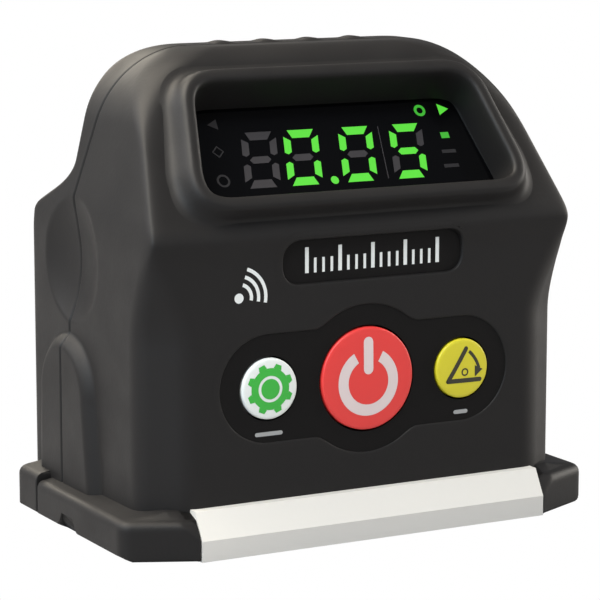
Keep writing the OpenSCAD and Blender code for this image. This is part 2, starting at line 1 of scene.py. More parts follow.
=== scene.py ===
import bpy
import numpy as np
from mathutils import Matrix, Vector


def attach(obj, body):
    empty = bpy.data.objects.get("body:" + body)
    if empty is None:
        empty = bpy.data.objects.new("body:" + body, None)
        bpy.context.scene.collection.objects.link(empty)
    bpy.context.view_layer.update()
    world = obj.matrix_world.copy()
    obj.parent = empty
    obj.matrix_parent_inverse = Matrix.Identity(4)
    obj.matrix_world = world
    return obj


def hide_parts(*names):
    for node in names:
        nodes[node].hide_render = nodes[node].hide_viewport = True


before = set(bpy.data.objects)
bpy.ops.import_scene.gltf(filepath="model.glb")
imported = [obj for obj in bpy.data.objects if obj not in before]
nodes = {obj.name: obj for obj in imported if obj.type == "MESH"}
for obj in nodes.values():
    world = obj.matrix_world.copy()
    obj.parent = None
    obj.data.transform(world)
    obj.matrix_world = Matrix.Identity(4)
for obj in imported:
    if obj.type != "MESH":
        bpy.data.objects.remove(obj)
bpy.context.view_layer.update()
print("frame loaded", len(nodes), "nodes")

# sizes are in millimetres, as in the CAD, and become metres when a mesh is made; angles are in degrees
mm = 0.001
sharpAngle = 40  # an edge that turns more than this stays crisp
printLift = 0.015  # how far a print stands off what it is printed on
sinD = lambda a: np.sin(np.radians(a))
cosD = lambda a: np.cos(np.radians(a))
tanD = lambda a: np.tan(np.radians(a))


def softMax(a, b, k):  # larger of a and b, the corner between them filled over the span k
    h = np.maximum(k - np.abs(a - b), 0) / k
    return np.maximum(a, b) + h * h * k / 4


def softMin(a, b, k):  # smaller of a and b, the corner taken off over the span k
    return -softMax(-a, -b, k)


def smooth(t):  # 0 to 1 with level ends
    t = np.clip(t, 0, 1)
    return t * t * (3 - 2 * t)


def mix(a, b, t):  # straight from a to b
    return a + (b - a) * t


def blend(a, b, c, r, n):  # corner b between a and c as a quadratic curve, for every row at once
    most = 0.48  # a curve takes less than half of each side
    ta = np.minimum(most, r / np.linalg.norm(a - b, axis=-1))[:, None, None]
    tc = np.minimum(most, r / np.linalg.norm(c - b, axis=-1))[:, None, None]
    a, b, c = a[:, None], b[:, None], c[:, None]
    u = np.linspace(0, 1, n)[None, :, None]
    p, q = mix(b, a, ta), mix(b, c, tc)
    return mix(mix(p, b, u), mix(b, q, u), u)


def roundedLoop(corners, radii, n, step):  # closed outline with round corners, points about one step apart
    corners = np.array(corners, float)
    before, after = np.roll(corners, 1, 0), np.roll(corners, -1, 0)
    arcs = [blend(a[None], b[None], c[None], r, n)[0] for a, b, c, r in zip(before, corners, after, radii)]
    out = []
    for arc, following in zip(arcs, arcs[1:] + arcs[:1]):
        m = max(2, int(np.linalg.norm(following[0] - arc[-1]) / step))
        out += [arc, mix(arc[-1], following[0], np.linspace(0, 1, m + 1)[1:-1, None])]
    return np.vstack(out)


def loopNormals(loop):  # outward normals of a closed outline that runs anticlockwise
    d = np.roll(loop, -1, 0) - np.roll(loop, 1, 0)
    n = np.stack([d[:, 1], -d[:, 0]], 1)
    return n / np.linalg.norm(n, axis=1)[:, None]


def sweepRound(loop, profile):  # every point of an outline carried outward by the profile's first column
    return loop[:, None] + loopNormals(loop)[:, None] * profile[None, :, :1]


def gridFaces(nu, nv, wrapU=False, wrapV=False, flip=False):  # quads of nu by nv points, closed where wrapped
    u = np.arange(nu if wrapU else nu - 1)
    v = np.arange(nv if wrapV else nv - 1)
    a, b = np.meshgrid(u, v, indexing="ij")
    a2, b2 = (a + 1) % nu, (b + 1) % nv
    q = np.stack([a * nv + b, a2 * nv + b, a2 * nv + b2, a * nv + b2], -1).reshape(-1, 4)
    return q[:, ::-1] if flip else q


def gridNormals(p):  # cross product of the grid's two directions
    n = np.cross(np.gradient(p, axis=0), np.gradient(p, axis=1))
    return n / np.maximum(np.linalg.norm(n, axis=2), 1e-9)[..., None]


def addPiece(name, verts, faces, material, body="housing", slotName="housing", replaced=(), flat=False):
    mesh = bpy.data.meshes.new(name)
    mesh.from_pydata((np.asarray(verts).reshape(-1, 3) * mm).tolist(), [], [list(f) for f in faces])
    mesh.polygons.foreach_set("use_smooth", np.full(len(mesh.polygons), not flat))
    if not flat:
        mesh.set_sharp_from_angle(angle=np.radians(sharpAngle))
    mesh.materials.append(material)
    piece = bpy.data.objects.new(name, mesh)
    bpy.context.scene.collection.objects.link(piece)
    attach(piece, body)
    if replaced:
        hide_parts(*replaced)
    return piece


def joinParts(parts):  # several (verts, faces) lists as one
    verts, faces, base = [], [], 0
    for v, f in parts:
        v = np.asarray(v).reshape(-1, 3)
        verts.append(v)
        faces += [[i + base for i in q] for q in f]
        base += len(v)
    return np.vstack(verts), faces


# finishes that many materials share, each a shader group with noise on Object coordinates
def newGroup(name, inputs, output, outputKind):
    group = bpy.data.node_groups.new(name, "ShaderNodeTree")
    for label in inputs:
        group.interface.new_socket(label, in_out="INPUT", socket_type="NodeSocketFloat")
    group.interface.new_socket(output, in_out="OUTPUT", socket_type=outputKind)
    place, noise = group.nodes.new("ShaderNodeTexCoord"), group.nodes.new("ShaderNodeTexNoise")
    group.links.new(place.outputs["Object"], noise.inputs["Vector"])
    return group, group.nodes.new("NodeGroupInput"), noise, group.nodes.new("NodeGroupOutput")


def grainGroup():  # moulded grain: fine noise as a bump
    inputs = ("Scale", "Strength")
    group, given, noise, result = newGroup("moulded_grain", inputs, "Normal", "NodeSocketVector")
    bump = group.nodes.new("ShaderNodeBump")
    noise.inputs["Detail"].default_value = 3
    bump.inputs["Distance"].default_value = 0.00003
    group.links.new(given.outputs["Scale"], noise.inputs["Scale"])
    group.links.new(given.outputs["Strength"], bump.inputs["Strength"])
    group.links.new(noise.outputs["Fac"], bump.inputs["Height"])
    group.links.new(bump.outputs["Normal"], result.inputs["Normal"])
    return group


def sheenGroup():  # uneven sheen: roughness wanders between two values
    inputs = ("Least", "Most")
    group, given, noise, result = newGroup("uneven_sheen", inputs, "Roughness", "NodeSocketFloat")
    span = group.nodes.new("ShaderNodeMapRange")
    noise.inputs["Scale"].default_value = 160
    noise.inputs["Detail"].default_value = 4
    span.inputs["From Min"].default_value = 0.3
    span.inputs["From Max"].default_value = 0.7
    group.links.new(given.outputs["Least"], span.inputs["To Min"])
    group.links.new(given.outputs["Most"], span.inputs["To Max"])
    group.links.new(noise.outputs["Fac"], span.inputs["Value"])
    group.links.new(span.outputs["Result"], result.inputs["Roughness"])
    return group


mouldedGrain, unevenSheen = grainGroup(), sheenGroup()


def addEffect(tree, group, values):  # a group with its own values, feeding the socket that its output names
    effect = tree.nodes.new("ShaderNodeGroup")
    effect.node_tree = group
    for label, value in values.items():
        effect.inputs[label].default_value = value
    made = effect.outputs[0]
    tree.links.new(made, tree.nodes["Principled BSDF"].inputs[made.name])


def srgb(r, g, b):  # screen levels as linear light
    c = np.array([r, g, b]) / 255
    return (*np.where(c < 0.04045, c / 12.92, ((c + 0.055) / 1.055) ** 2.4), 1)


def newMaterial(name, color, rough, metal=0.0, spec=0.5, wear=0.05, grain=0.0, grainSize=2500):
    m = bpy.data.materials.new(name)
    m.use_nodes = True
    s = m.node_tree.nodes["Principled BSDF"]
    s.inputs["Base Color"].default_value = color
    s.inputs["Roughness"].default_value = rough
    s.inputs["Metallic"].default_value = metal
    s.inputs["Specular IOR Level"].default_value = spec
    addEffect(m.node_tree, unevenSheen, {"Least": rough - wear, "Most": rough + wear})
    if grain:
        addEffect(m.node_tree, mouldedGrain, {"Scale": grainSize, "Strength": grain})
    return m


def glow(m, color):  # shines in its own colour
    s = m.node_tree.nodes["Principled BSDF"]
    s.inputs["Emission Color"].default_value = color
    s.inputs["Emission Strength"].default_value = 1.0
    return m


matHousing = newMaterial("housing", srgb(23, 22, 22), 0.52, spec=0.21, wear=0.06, grain=0.35, grainSize=2600)
matAlu = newMaterial("aluminium", srgb(200, 198, 193), 0.45, metal=0.1, spec=0.35, grain=0.2, grainSize=1500)
matWindow = newMaterial("window", srgb(5, 5, 6), 0.22, spec=0.16, wear=0.03)
matOverlay = newMaterial("overlay", srgb(15, 14, 14), 0.55, spec=0.11, grain=0.25, grainSize=3000)
# the screws' crosses are black as painted shade, standing for the recess in each steel head
matCrossShade = newMaterial("screw_cross_painted_shade", srgb(10, 10, 10), 0.7)
matRed = newMaterial("key_red", srgb(208, 50, 47), 0.42, grain=0.15)
matWhite = newMaterial("key_white", srgb(212, 216, 213), 0.42, grain=0.15)
matYellow = newMaterial("key_yellow", srgb(194, 184, 32), 0.42, grain=0.15)
matPrint = newMaterial("print_pale", srgb(212, 215, 213), 0.5)
matPrintGrey = newMaterial("print_grey", srgb(145, 146, 146), 0.5)
matPrintPink = newMaterial("print_pink", srgb(204, 189, 188), 0.5)
matPrintDark = newMaterial("print_dark", srgb(40, 38, 20), 0.5)
matPrintGreen = newMaterial("print_green", srgb(46, 162, 52), 0.5)
matLit = glow(newMaterial("segment_lit", srgb(30, 60, 15), 0.4, wear=0.03), srgb(88, 218, 60))
matDim = glow(newMaterial("segment_dim", srgb(25, 50, 15), 0.4, wear=0.03), srgb(58, 176, 48))
matUnlit = newMaterial("segment_unlit", srgb(48, 46, 48), 0.4, wear=0.03)
matFaint = newMaterial("mark_faint", srgb(33, 32, 34), 0.4, wear=0.03)
matSteel = newMaterial("steel", srgb(190, 190, 192), 0.3, metal=1)
matMagnet = newMaterial("magnet", srgb(200, 201, 205), 0.2, metal=1)
matBoard = newMaterial("board", srgb(30, 92, 52), 0.4)
matChip = newMaterial("chip", srgb(38, 38, 40), 0.5)
matRibbon = newMaterial("ribbon", srgb(190, 130, 40), 0.35)
matCell = newMaterial("cell", srgb(52, 66, 120), 0.35)
matContact = newMaterial("contact", srgb(205, 190, 140), 0.3, metal=1)
matGasket = newMaterial("gasket", srgb(20, 20, 20), 0.8)
print("materials made")

nodeLooks = {
    "base_plate": matAlu, "base_magnets": matMagnet, "base_screws": matSteel, "shell_screws": matSteel,
    "battery_cover": matHousing, "display_window": matWindow, "display_module": matChip,
    "display_ribbon": matRibbon, "key_switches": matChip, "main_board": matBoard, "board_screws": matSteel,
    "tilt_sensor": matChip, "controller_chip": matChip, "radio_module": matSteel, "lower_cell": matCell,
    "upper_cell": matCell, "cell_contacts": matContact, "window_gasket": matGasket}
for name, look in nodeLooks.items():
    nodes[name].data.materials.clear()
    nodes[name].data.materials.append(look)

# housing: level sections from the foot to the crown, front and rear shell meeting at the seam
body = dict(half=24.4, top=49.3, foot=3.0, front=14.05, rear=15.0, face=40.2, facetBack=3.3, bendR=1.4,
            slopeZ=32.6, tilt=34.5, chin=0.55, chinRise=3.3, noseSoft=0.7, browR=1.6,
            taperZ=31.6, taper=13.2, taperSoft=0.5, crownR=9.5, closeRise=11, ridge=0.5, ridgeTop=2.2,
            shelfZ=32.3, shelf=25.0, upperRear=6.95, shelfSoft=3.6, rearSoft=1.5, napeR=2.6, rearR=1.4,
            seam=5.0, seamLean=3.6, seamKnee=1)
noseZ = body["slopeZ"] - body["chin"] / tanD(body["tilt"])
crownX = body["half"] - (body["top"] - body["taperZ"]) * tanD(body["taper"]) \
    - body["crownR"] / tanD((90 + body["taper"]) / 2)
crownZ = body["top"] - body["crownR"]
crownFoot = crownZ + body["crownR"] * sinD(body["taper"])


def sideAt(z):  # upright, then leaning in, then an arc that is level at the top
    lean = body["half"] - (z - body["taperZ"]) * tanD(body["taper"])
    lean = softMin(np.full_like(z, body["half"]), lean, body["taperSoft"])
    arc = crownX + np.sqrt(np.maximum(0, body["crownR"] ** 2 - (z - crownZ) ** 2))
    return np.where(z > crownFoot, arc, lean)


def roundedIn(z, r):  # how far an edge of radius r draws in below the top
    up = np.maximum(0, z - (body["top"] - r))
    return r - np.sqrt(np.maximum(0, r * r - up * up))


def frontAt(z):  # upright face that runs out to the chin, then the leaning display face
    upright = -body["front"] - body["chin"] * smooth((z - noseZ + body["chinRise"]) / body["chinRise"])
    lean = -body["front"] + (z - body["slopeZ"]) * tanD(body["tilt"])
    return softMax(upright, lean, body["noseSoft"]) + roundedIn(z, body["browR"])


def rearAt(z):  # upright face, sloping shelf, upper face
    shelf = body["rear"] - (z - body["shelfZ"]) / tanD(body["shelf"])
    upper = softMax(np.full_like(z, body["upperRear"]), shelf, body["shelfSoft"])
    return softMin(np.full_like(z, body["rear"]), upper, body["rearSoft"]) - roundedIn(z, body["napeR"])


def seamAt(z):  # joint of the shells, leaning forward above the shelf
    knee = body["shelfZ"] + body["seamKnee"]
    return body["seam"] - body["seamLean"] * np.maximum(0, z - knee) / (body["top"] - knee)


def closedAt(z):  # 0 where the facet is full, 1 from the nose up, where only a ridge is left of it
    return smooth((z - noseZ + body["closeRise"]) / body["closeRise"])


def pair(x, y):  # points of a section
    return np.stack([x, y], -1)


def spreadTo(a, b, t):  # points from a to b at the shares t, for every row
    return a[:, None] + (b - a)[:, None] * t[None, :, None]


def inner(n):  # even shares between 0 and 1, both ends left out
    return np.linspace(0, 1, n)[1:-1]


bay = dict(x=22.8, low=7.8, high=29.1, floor=2.9, ledge=1.4, openX=23.0, openLow=6.6, openHigh=30.3,
           evenX=22.4)
grid = dict(rows=176, crownRows=34, frontTop=10, rearTop=16, bend=12, side=56, facet=10, face=62, rearSide=34,
            rear=46)
step = 0.03  # run of an upright wall in the skin
bayRows = [bay["openLow"], bay["openLow"] + step, bay["low"] - step, bay["low"],
           bay["high"], bay["high"] + step, bay["openHigh"] - step, bay["openHigh"]]
rowZ = np.unique(np.concatenate([np.linspace(body["foot"], crownFoot, grid["rows"]), bayRows]))
crownTurn = np.linspace(body["taper"], 90, grid["crownRows"])[1:]
rowZ = np.concatenate([rowZ, crownZ + body["crownR"] * sinD(crownTurn)])
halfW, frontY, rearY, closed, seamY = sideAt(rowZ), frontAt(rowZ), rearAt(rowZ), closedAt(rowZ), seamAt(rowZ)
ridge = mix(body["ridge"], body["ridgeTop"], smooth((rowZ - crownZ) / (body["top"] - crownZ)))
cutX = mix(body["half"] - body["face"] / 2, ridge, closed)
cutY = mix(body["facetBack"], ridge, closed)
nearSeam = np.array([0, 0.05, 0.1, 0.15, 0.2, 0.27, 0.36])  # columns beside the joint

# right half of the front shell: seam, side, facet, front face; the left half mirrors it
atSeam, atBack = pair(halfW, seamY), pair(halfW, frontY + cutY)
atFace, atMid = pair(halfW - cutX, frontY), pair(np.zeros_like(rowZ), frontY)
bendSide = blend(atSeam, atBack, atFace, body["bendR"], grid["bend"])
bendFace = blend(atBack, atFace, atMid, body["bendR"], grid["bend"])
seamCols = np.stack([pair(halfW, np.maximum(seamY - d, bendSide[:, 0, 1])) for d in nearSeam], 1)
sideCols = spreadTo(seamCols[:, -1], bendSide[:, 0], inner(grid["side"]))
facetCols = spreadTo(bendSide[:, -1], bendFace[:, 0], inner(grid["facet"]))
faceCols = spreadTo(bendFace[:, -1], atMid, np.linspace(0, 1, grid["face"])[1:])
rightHalf = np.concatenate([seamCols, sideCols, bendSide, facetCols, bendFace, faceCols], 1)
leftHalf = rightHalf[:, -2::-1] * np.array([-1, 1])
frontRing = np.concatenate([rightHalf, leftHalf], 1)

# right half of the rear shell, with columns where the walls of the battery bay stand
atRear, atRearMid = pair(halfW, rearY), pair(np.zeros_like(rowZ), rearY)
bendRear = blend(atSeam, atRear, atRearMid, body["rearR"], grid["bend"])
seamColsR = np.stack([pair(halfW, np.minimum(seamY + d, bendRear[:, 0, 1])) for d in nearSeam], 1)
sideColsR = spreadTo(seamColsR[:, -1], bendRear[:, 0], inner(grid["rearSide"]))
bayCols = [bay["openX"] - step, bay["x"] + step, bay["x"]]
rearX = np.concatenate([bayCols, np.linspace(bay["evenX"], 0, grid["rear"])])
rearCols = spreadTo(bendRear[:, -1], atRearMid, 1 - rearX / bay["openX"])
rightRear = np.concatenate([seamColsR, sideColsR, bendRear, rearCols], 1)
leftRear = rightRear[:, -2::-1] * np.array([-1, 1])
rearRing = np.concatenate([rightRear, leftRear], 1)
farOut = np.full(rightRear.shape[1] - len(rearX), 2 * body["half"])  # columns that are never in the bay
nominalX = np.concatenate([farOut, rearX])  # x of each column at the foot
nominalX = np.concatenate([nominalX, nominalX[-2::-1]])


def withTop(ring, rows):  # adds the flat top: every column of the last ring runs to the seam
    skin = np.concatenate([ring, np.repeat(rowZ[:, None, None], ring.shape[1], 1)], 2)
    last = skin[-1]
    goal = last.copy()
    goal[:, 1] = seamAt(body["top"])
    t = np.linspace(0, 1, rows + 1)[1:]
    cap = last[None] + (goal - last)[None] * t[:, None, None]
    return np.concatenate([skin, cap], 0)


dimple = dict(y=4.3, z=27.6, r=6.5, depth=1.45, rimSoft=0.06)
arch = dict(y=5.0, crest=20.0, r=6.5, out=1.1, bevel=1.6, spreadFront=0.13, spreadRear=0.04, roundness=0.35)
ribs = dict(pitch=5.2, half=1.25, height=0.25, front=1.6, rear=4.5, fade=0.8, reach=10.4)
groove = dict(depth=0.28, half=0.26, sharpness=1.3, dimpleLoss=0.6, dimpleFull=0.8)
bodyMid = np.array([0, 2.0, 22.0])  # normals are turned away from this point


def dimpleIn(y, z):  # bowl with a crisp rim
    rho2 = ((y - dimple["y"]) ** 2 + (z - dimple["z"]) ** 2) / dimple["r"] ** 2
    return softMax(np.zeros_like(y), dimple["depth"] * (1 - rho2), dimple["rimSoft"])


def archOut(y, z):  # round-topped panel with a rounded edge, widening to its foot
    zc = arch["crest"] - arch["r"]
    below = np.maximum(0, zc - z)
    wide = np.where(y < arch["y"], arch["spreadFront"], arch["spreadRear"]) * below
    dist = np.where(z > zc, np.hypot(y - arch["y"], z - zc), np.abs(y - arch["y"]) - wide) - arch["r"]
    t = np.clip(-dist / arch["bevel"], 0, 1)
    quarter = np.sqrt(np.maximum(0, 1 - (1 - t) ** 2))
    return arch["out"] * mix(smooth(t), quarter, arch["roundness"] * smooth(t * 3))


def ribUp(x, y):  # low rounded ribs on the flat top, behind the seam
    off = np.abs((x / ribs["pitch"]) % 1.0 - 0.5) * ribs["pitch"]
    across = np.clip(1 - (off / ribs["half"]) ** 2, 0, 1)
    along = smooth((y - ribs["front"]) / ribs["fade"]) * smooth((ribs["rear"] - y) / ribs["fade"])
    return ribs["height"] * across * along * (np.abs(x) < ribs["reach"])


def dressSkin(skin):  # moves a skin out by the arch and ribs, and in by the dimple and the groove at the seam
    n = gridNormals(skin)
    n *= np.where(np.sum(n * (skin - bodyMid), 2) < 0, -1, 1)[..., None]
    x, y, z = skin[..., 0], skin[..., 1], skin[..., 2]
    onSide = np.abs(n[..., 0]) > 0.75
    out = skin.copy()
    out[..., 0] += np.sign(x) * np.where(onSide, archOut(y, z) - dimpleIn(y, z), 0.0)
    near = np.clip(1 - np.abs(y - seamAt(z)) / groove["half"], 0, 1)
    shown = np.where(n[..., 1] ** 2 < 0.7, 1, 0)  # not on the front and rear faces
    inDimple = smooth(dimpleIn(y, z) / groove["dimpleFull"])
    shown = shown * np.where(onSide, 1 - groove["dimpleLoss"] * inDimple, 1)
    out -= n * (groove["depth"] * near ** groove["sharpness"] * shown)[..., None]
    top = z > body["top"] - 0.01
    out[..., 2] += np.where(top, ribUp(x, y), 0)
    return out, n


frontSkin, frontNormal = dressSkin(withTop(frontRing, grid["frontTop"]))
rearSkin, rearNormal = dressSkin(withTop(rearRing, grid["rearTop"]))


# frame of the leaning face: x across, v up the slope, h out of it
def onSlope(x, v, h):
    s, c = sinD(body["tilt"]), cosD(body["tilt"])
    return np.stack([x, -body["front"] + v * s - h * c, body["slopeZ"] + v * c + h * s], -1)


def upSlope(p):  # v of points given by x, y, z
    y, z = p[..., 1] + body["front"], p[..., 2] - body["slopeZ"]
    return y * sinD(body["tilt"]) + z * cosD(body["tilt"])


# what is let into the front face; z of the keypad is the row of keys
rim = dict(low=19.9, high=17.1, start=1.0, length=15.7, rLow=5.0, rHigh=4.0, topLean=0.9,
           sink=6.0, sinkIn=0.7, sinkRun=0.8)
keypad = dict(z=16.15, x=11.25, lobe=7.65, end=5.5, waist=0.8, sink=0.8)
keys = {"power": dict(x=0.0, r=5.3, look=matRed, slot="key_red"),
        "hold": dict(x=-11.25, r=3.1, look=matWhite, slot="key_white"),
        "zero": dict(x=11.25, r=3.1, look=matYellow, slot="key_yellow")}
keyWell = dict(sink=1.9, out=0.5, run=0.25)
plate = dict(x=0.8, half=10.5, low=26.3, high=30.9, r=2.1, floor=13.7, sink=1.6)
plateMid = np.array([plate["x"], (plate["low"] + plate["high"]) / 2])
letIn = dict(out=0.3, run=0.28)  # the skin begins to sink outside an outline, where a lip covers it


def insideRim(x, v, inset):  # how far a point of the slope lies inside the rim's outline
    up = v - rim["start"]
    edge = mix(rim["low"], rim["high"], up / rim["length"])
    return np.minimum(np.minimum(edge - np.abs(x), up), rim["length"] - up) - inset


def insidePlate(x, z):  # how far a point lies inside the rounded name plate
    r = plate["r"]
    qx = np.abs(x - plate["x"]) - plate["half"] + r
    qz = np.abs(z - plateMid[1]) - (plate["high"] - plate["low"]) / 2 + r
    return r - np.hypot(np.maximum(qx, 0), np.maximum(qz, 0)) - np.minimum(np.maximum(qx, qz), 0)


def insideKey(x, z):  # how far a point lies inside the nearest key's edge, z from the row of keys
    return np.max([k["r"] - np.hypot(x - k["x"], z) for k in keys.values()], 0)


def insideKeypad(x, z):  # the same for the keypad's outline: a bar with round ends, or the lobe in its middle
    bar = keypad["end"] - np.hypot(np.maximum(np.abs(x) - keypad["x"], 0), z)
    return np.maximum(bar, keypad["lobe"] - np.hypot(x, z))


def keypadHalf(x, out):  # half height of that outline, its waists filled
    bar, lobe = keypad["end"] + out, keypad["lobe"] + out
    past = np.maximum(0, np.abs(x) - keypad["x"])
    barHalf = np.sqrt(np.maximum(0, bar ** 2 - past ** 2))
    return softMax(barHalf, np.sqrt(np.maximum(0, lobe ** 2 - x ** 2)), keypad["waist"])


def sinkIn(inside, depth, out, run):  # 0 outside an outline, falling over the run to the depth inside it
    return smooth((inside + out) / run) * depth


facing = (frontNormal[..., 1] < -0.3) & (frontNormal[..., 2] > 0.3)
inRim = insideRim(frontSkin[..., 0], upSlope(frontSkin), rim["sinkIn"])
sink = sinkIn(inRim, rim["sink"], 0, rim["sinkRun"]) * facing
frontSkin[..., 1] += sink * cosD(body["tilt"])
frontSkin[..., 2] -= sink * sinD(body["tilt"])
fx, fz = frontSkin[..., 0], frontSkin[..., 2]
flatFront = (frontNormal[..., 1] < -0.8) & (fz < noseZ)
padZ = fz - keypad["z"]
sink = np.max([sinkIn(insideKeypad(fx, padZ), keypad["sink"], **letIn),
               sinkIn(insidePlate(fx, fz), plate["sink"], **letIn),
               sinkIn(insideKey(fx, padZ), keyWell["sink"], keyWell["out"], keyWell["run"])], 0)
frontSkin[..., 1] += np.where(flatFront, sink, 0)

# the rear skin sinks for the battery bay, the finger notch above it and the two screw heads
notch = dict(half=5, r=1.2, depth=0.4, run=0.3)
screws = dict(x=11.0, z=45.0, r=1.7, clear=0.3, sink=1.8, head=6.905, long=1.9, wide=0.36, apart=0.002)
flatRear = rearNormal[..., 1] > 0.8
rx, rz, edge = nominalX[None, :], rearSkin[..., 2], step / 2
inOpening = (rx < bay["openX"] - edge) & (rz > bay["openLow"] + edge) & (rz < bay["openHigh"] - edge)
inBay = (rx < bay["x"] + edge) & (rz > bay["low"] - edge) & (rz < bay["high"] + edge)
pastNotch = np.maximum(np.abs(rearSkin[..., 0]) - notch["half"], 0)
inNotch = notch["r"] - np.hypot(pastNotch, rz - bay["openHigh"])
fromScrew = np.hypot(np.abs(rearSkin[..., 0]) - screws["x"], rz - screws["z"])
sink = sinkIn(inNotch, notch["depth"], 0, notch["run"]) * flatRear
sink = np.where(inOpening, bay["ledge"], sink)
sink = np.where(inBay, body["rear"] - bay["floor"], sink)
sink = np.where((fromScrew < screws["r"] + screws["clear"]) & flatRear, screws["sink"], sink)
rearSkin[..., 1] -= sink

frontShell = addPiece("front_skin", frontSkin, gridFaces(*frontSkin.shape[:2]), matHousing,
                      replaced=("front_shell",))
rearShell = addPiece("rear_skin", rearSkin, gridFaces(*rearSkin.shape[:2], flip=True), matHousing,
                     replaced=("rear_shell",))

# each screw: a seat, which is a profile of (outward, out of the wall) turned round its hole, and a flat black
# cross on its head that paints the shade of the cross's recess
seatProfile = np.array([(0.75, 0.0), (0.72, 0.01), (0.06, 0.01), (0.0, -0.05), (0.0, -1.2)])
seatTurn = np.linspace(0, 2 * np.pi, 48, endpoint=False)[:, None]
seatR, seatY = screws["r"] + seatProfile[:, 0], body["upperRear"] + seatProfile[None, :, 1]
seats, cross = [], []
for side in (-1, 1):
    seatX, seatZ = side * screws["x"] + np.cos(seatTurn) * seatR, screws["z"] + np.sin(seatTurn) * seatR
    seats.append((np.stack(np.broadcast_arrays(seatX, seatY, seatZ), -1),
                  gridFaces(*seatX.shape, wrapU=True, flip=True)))
    for wide, tall in ((screws["long"], screws["wide"]), (screws["wide"], screws["long"])):
        across, up = np.linspace(-wide / 2, wide / 2, 6), np.linspace(-tall / 2, tall / 2, 6)
        x, z = np.meshgrid(across, up, indexing="ij")
        y = np.full_like(x, screws["head"] + screws["apart"] * (wide > tall))
        cross.append((np.stack([side * screws["x"] + x, y, screws["z"] + z], -1), gridFaces(6, 6, flip=True)))
addPiece("screw_seats", *joinParts(seats), matHousing)
# the crosses are flat black sheets: painted shade in place of the recesses
addPiece("screw_crosses_painted_shade", *joinParts(cross), matCrossShade, slotName="screw_steel")
print("housing", len(frontShell.data.polygons), len(rearShell.data.polygons))

# hood: a profile swept round the rim's outline, from the leaning face over the rim into the window's tub
rimTop = rim["start"] + rim["length"]
rimCorners = [(rim["low"], rim["start"]), (rim["high"], rimTop),
              (-rim["high"], rimTop), (-rim["low"], rim["start"])]
rimLoop = roundedLoop(rimCorners, [rim["rLow"], rim["rHigh"], rim["rHigh"], rim["rLow"]], 16, 0.5)
rimNormal = loopNormals(rimLoop)
hoodFoot = dict(sideLow=1.5, sideHigh=0.7, top=1.1, bottom=0.45)  # how far the foot spreads, as a share
hoodWall = dict(top=1.8, fall=3.8, within=-1)  # the part of the profile that leans with topLean
hoodProfile = np.array([  # (outward from the rim's edge, height above the leaning face)
    (1.5, -0.06), (1.2, 0.02), (0.96, 0.1), (0.76, 0.24), (0.59, 0.45), (0.44, 0.74), (0.31, 1.06),
    (0.2, 1.38), (0.09, 1.67), (-0.03, 1.88), (-0.18, 2.01), (-0.36, 2.08), (-0.6, 2.1), (-0.85, 2.1),
    (-1.06, 2.07), (-1.23, 1.98), (-1.35, 1.83), (-1.42, 1.6), (-1.46, 1.0), (-1.48, 0.3), (-1.5, -0.5),
    (-1.52, -1.3), (-1.55, -2.05)])
hoodOut, hoodUp = hoodProfile[None, :, 0], hoodProfile[None, :, 1]
rimUp, rimDown = np.clip(rimNormal[:, 1], 0, 1), np.clip(-rimNormal[:, 1], 0, 1)
sideFoot = mix(hoodFoot["sideLow"], hoodFoot["sideHigh"], (rimLoop[:, 1] - rim["start"]) / rim["length"])
footWidth = np.abs(rimNormal[:, 0]) * sideFoot + rimUp * hoodFoot["top"] + rimDown * hoodFoot["bottom"]
outward = np.where(hoodOut > 0, hoodOut * footWidth[:, None], hoodOut)
hoodXV = rimLoop[:, None] + rimNormal[:, None] * outward[..., None]
inWall = np.clip((hoodWall["top"] - hoodUp) / hoodWall["fall"], 0, 1) * (hoodOut < hoodWall["within"])
hoodXV[..., 1] -= rim["topLean"] * rimUp[:, None] * inWall
hoodPts = onSlope(hoodXV[..., 0], hoodXV[..., 1], np.broadcast_to(hoodUp, hoodXV.shape[:2]))
hood = addPiece("hood", hoodPts, gridFaces(*hoodPts.shape[:2], wrapU=True, flip=True), matHousing)
print("hood", len(hood.data.polygons))

# end blocks: an outline with round corners, stacked from the underside to the sloping top
block = dict(x=27.2, y=16.5, inner=20.1, cutX=7.2, cutY=3.4, cornerR=1.1, innerR=0.1,
             seam=7.8, gap=0.12, seamR=0.2, seamShare=0.2, edgeShare=0.6,
             lift=0.1, under=1.1, underZ=0.6, bevel=1.5, crease=2.1, plateTop=4.8,
             notchHalf=2.3, notchRun=0.9, notchUp=1.75,
             frontTop=4.1, rearTop=4.75, roll=0.9, peak=0.65, roofX=22.3, roofFront=13.2, roofRear=14.2)


def blockEdge(x, z):  # nearer of the cut corner and the plate's bevel, which runs on over the block
    corner = block["y"] - np.maximum(x - (block["x"] - block["cutX"]), 0) * block["cutY"] / block["cutX"]
    rise = np.clip((z - block["crease"]) / (block["plateTop"] - block["crease"]), 0, 1)
    return np.minimum(corner, block["y"] - block["bevel"] * rise)


def blockSide(z):  # outer side, drawn in towards the underside
    down = np.clip((block["underZ"] - z) / (block["underZ"] - block["lift"]), 0, 1)
    return block["x"] - block["under"] * down


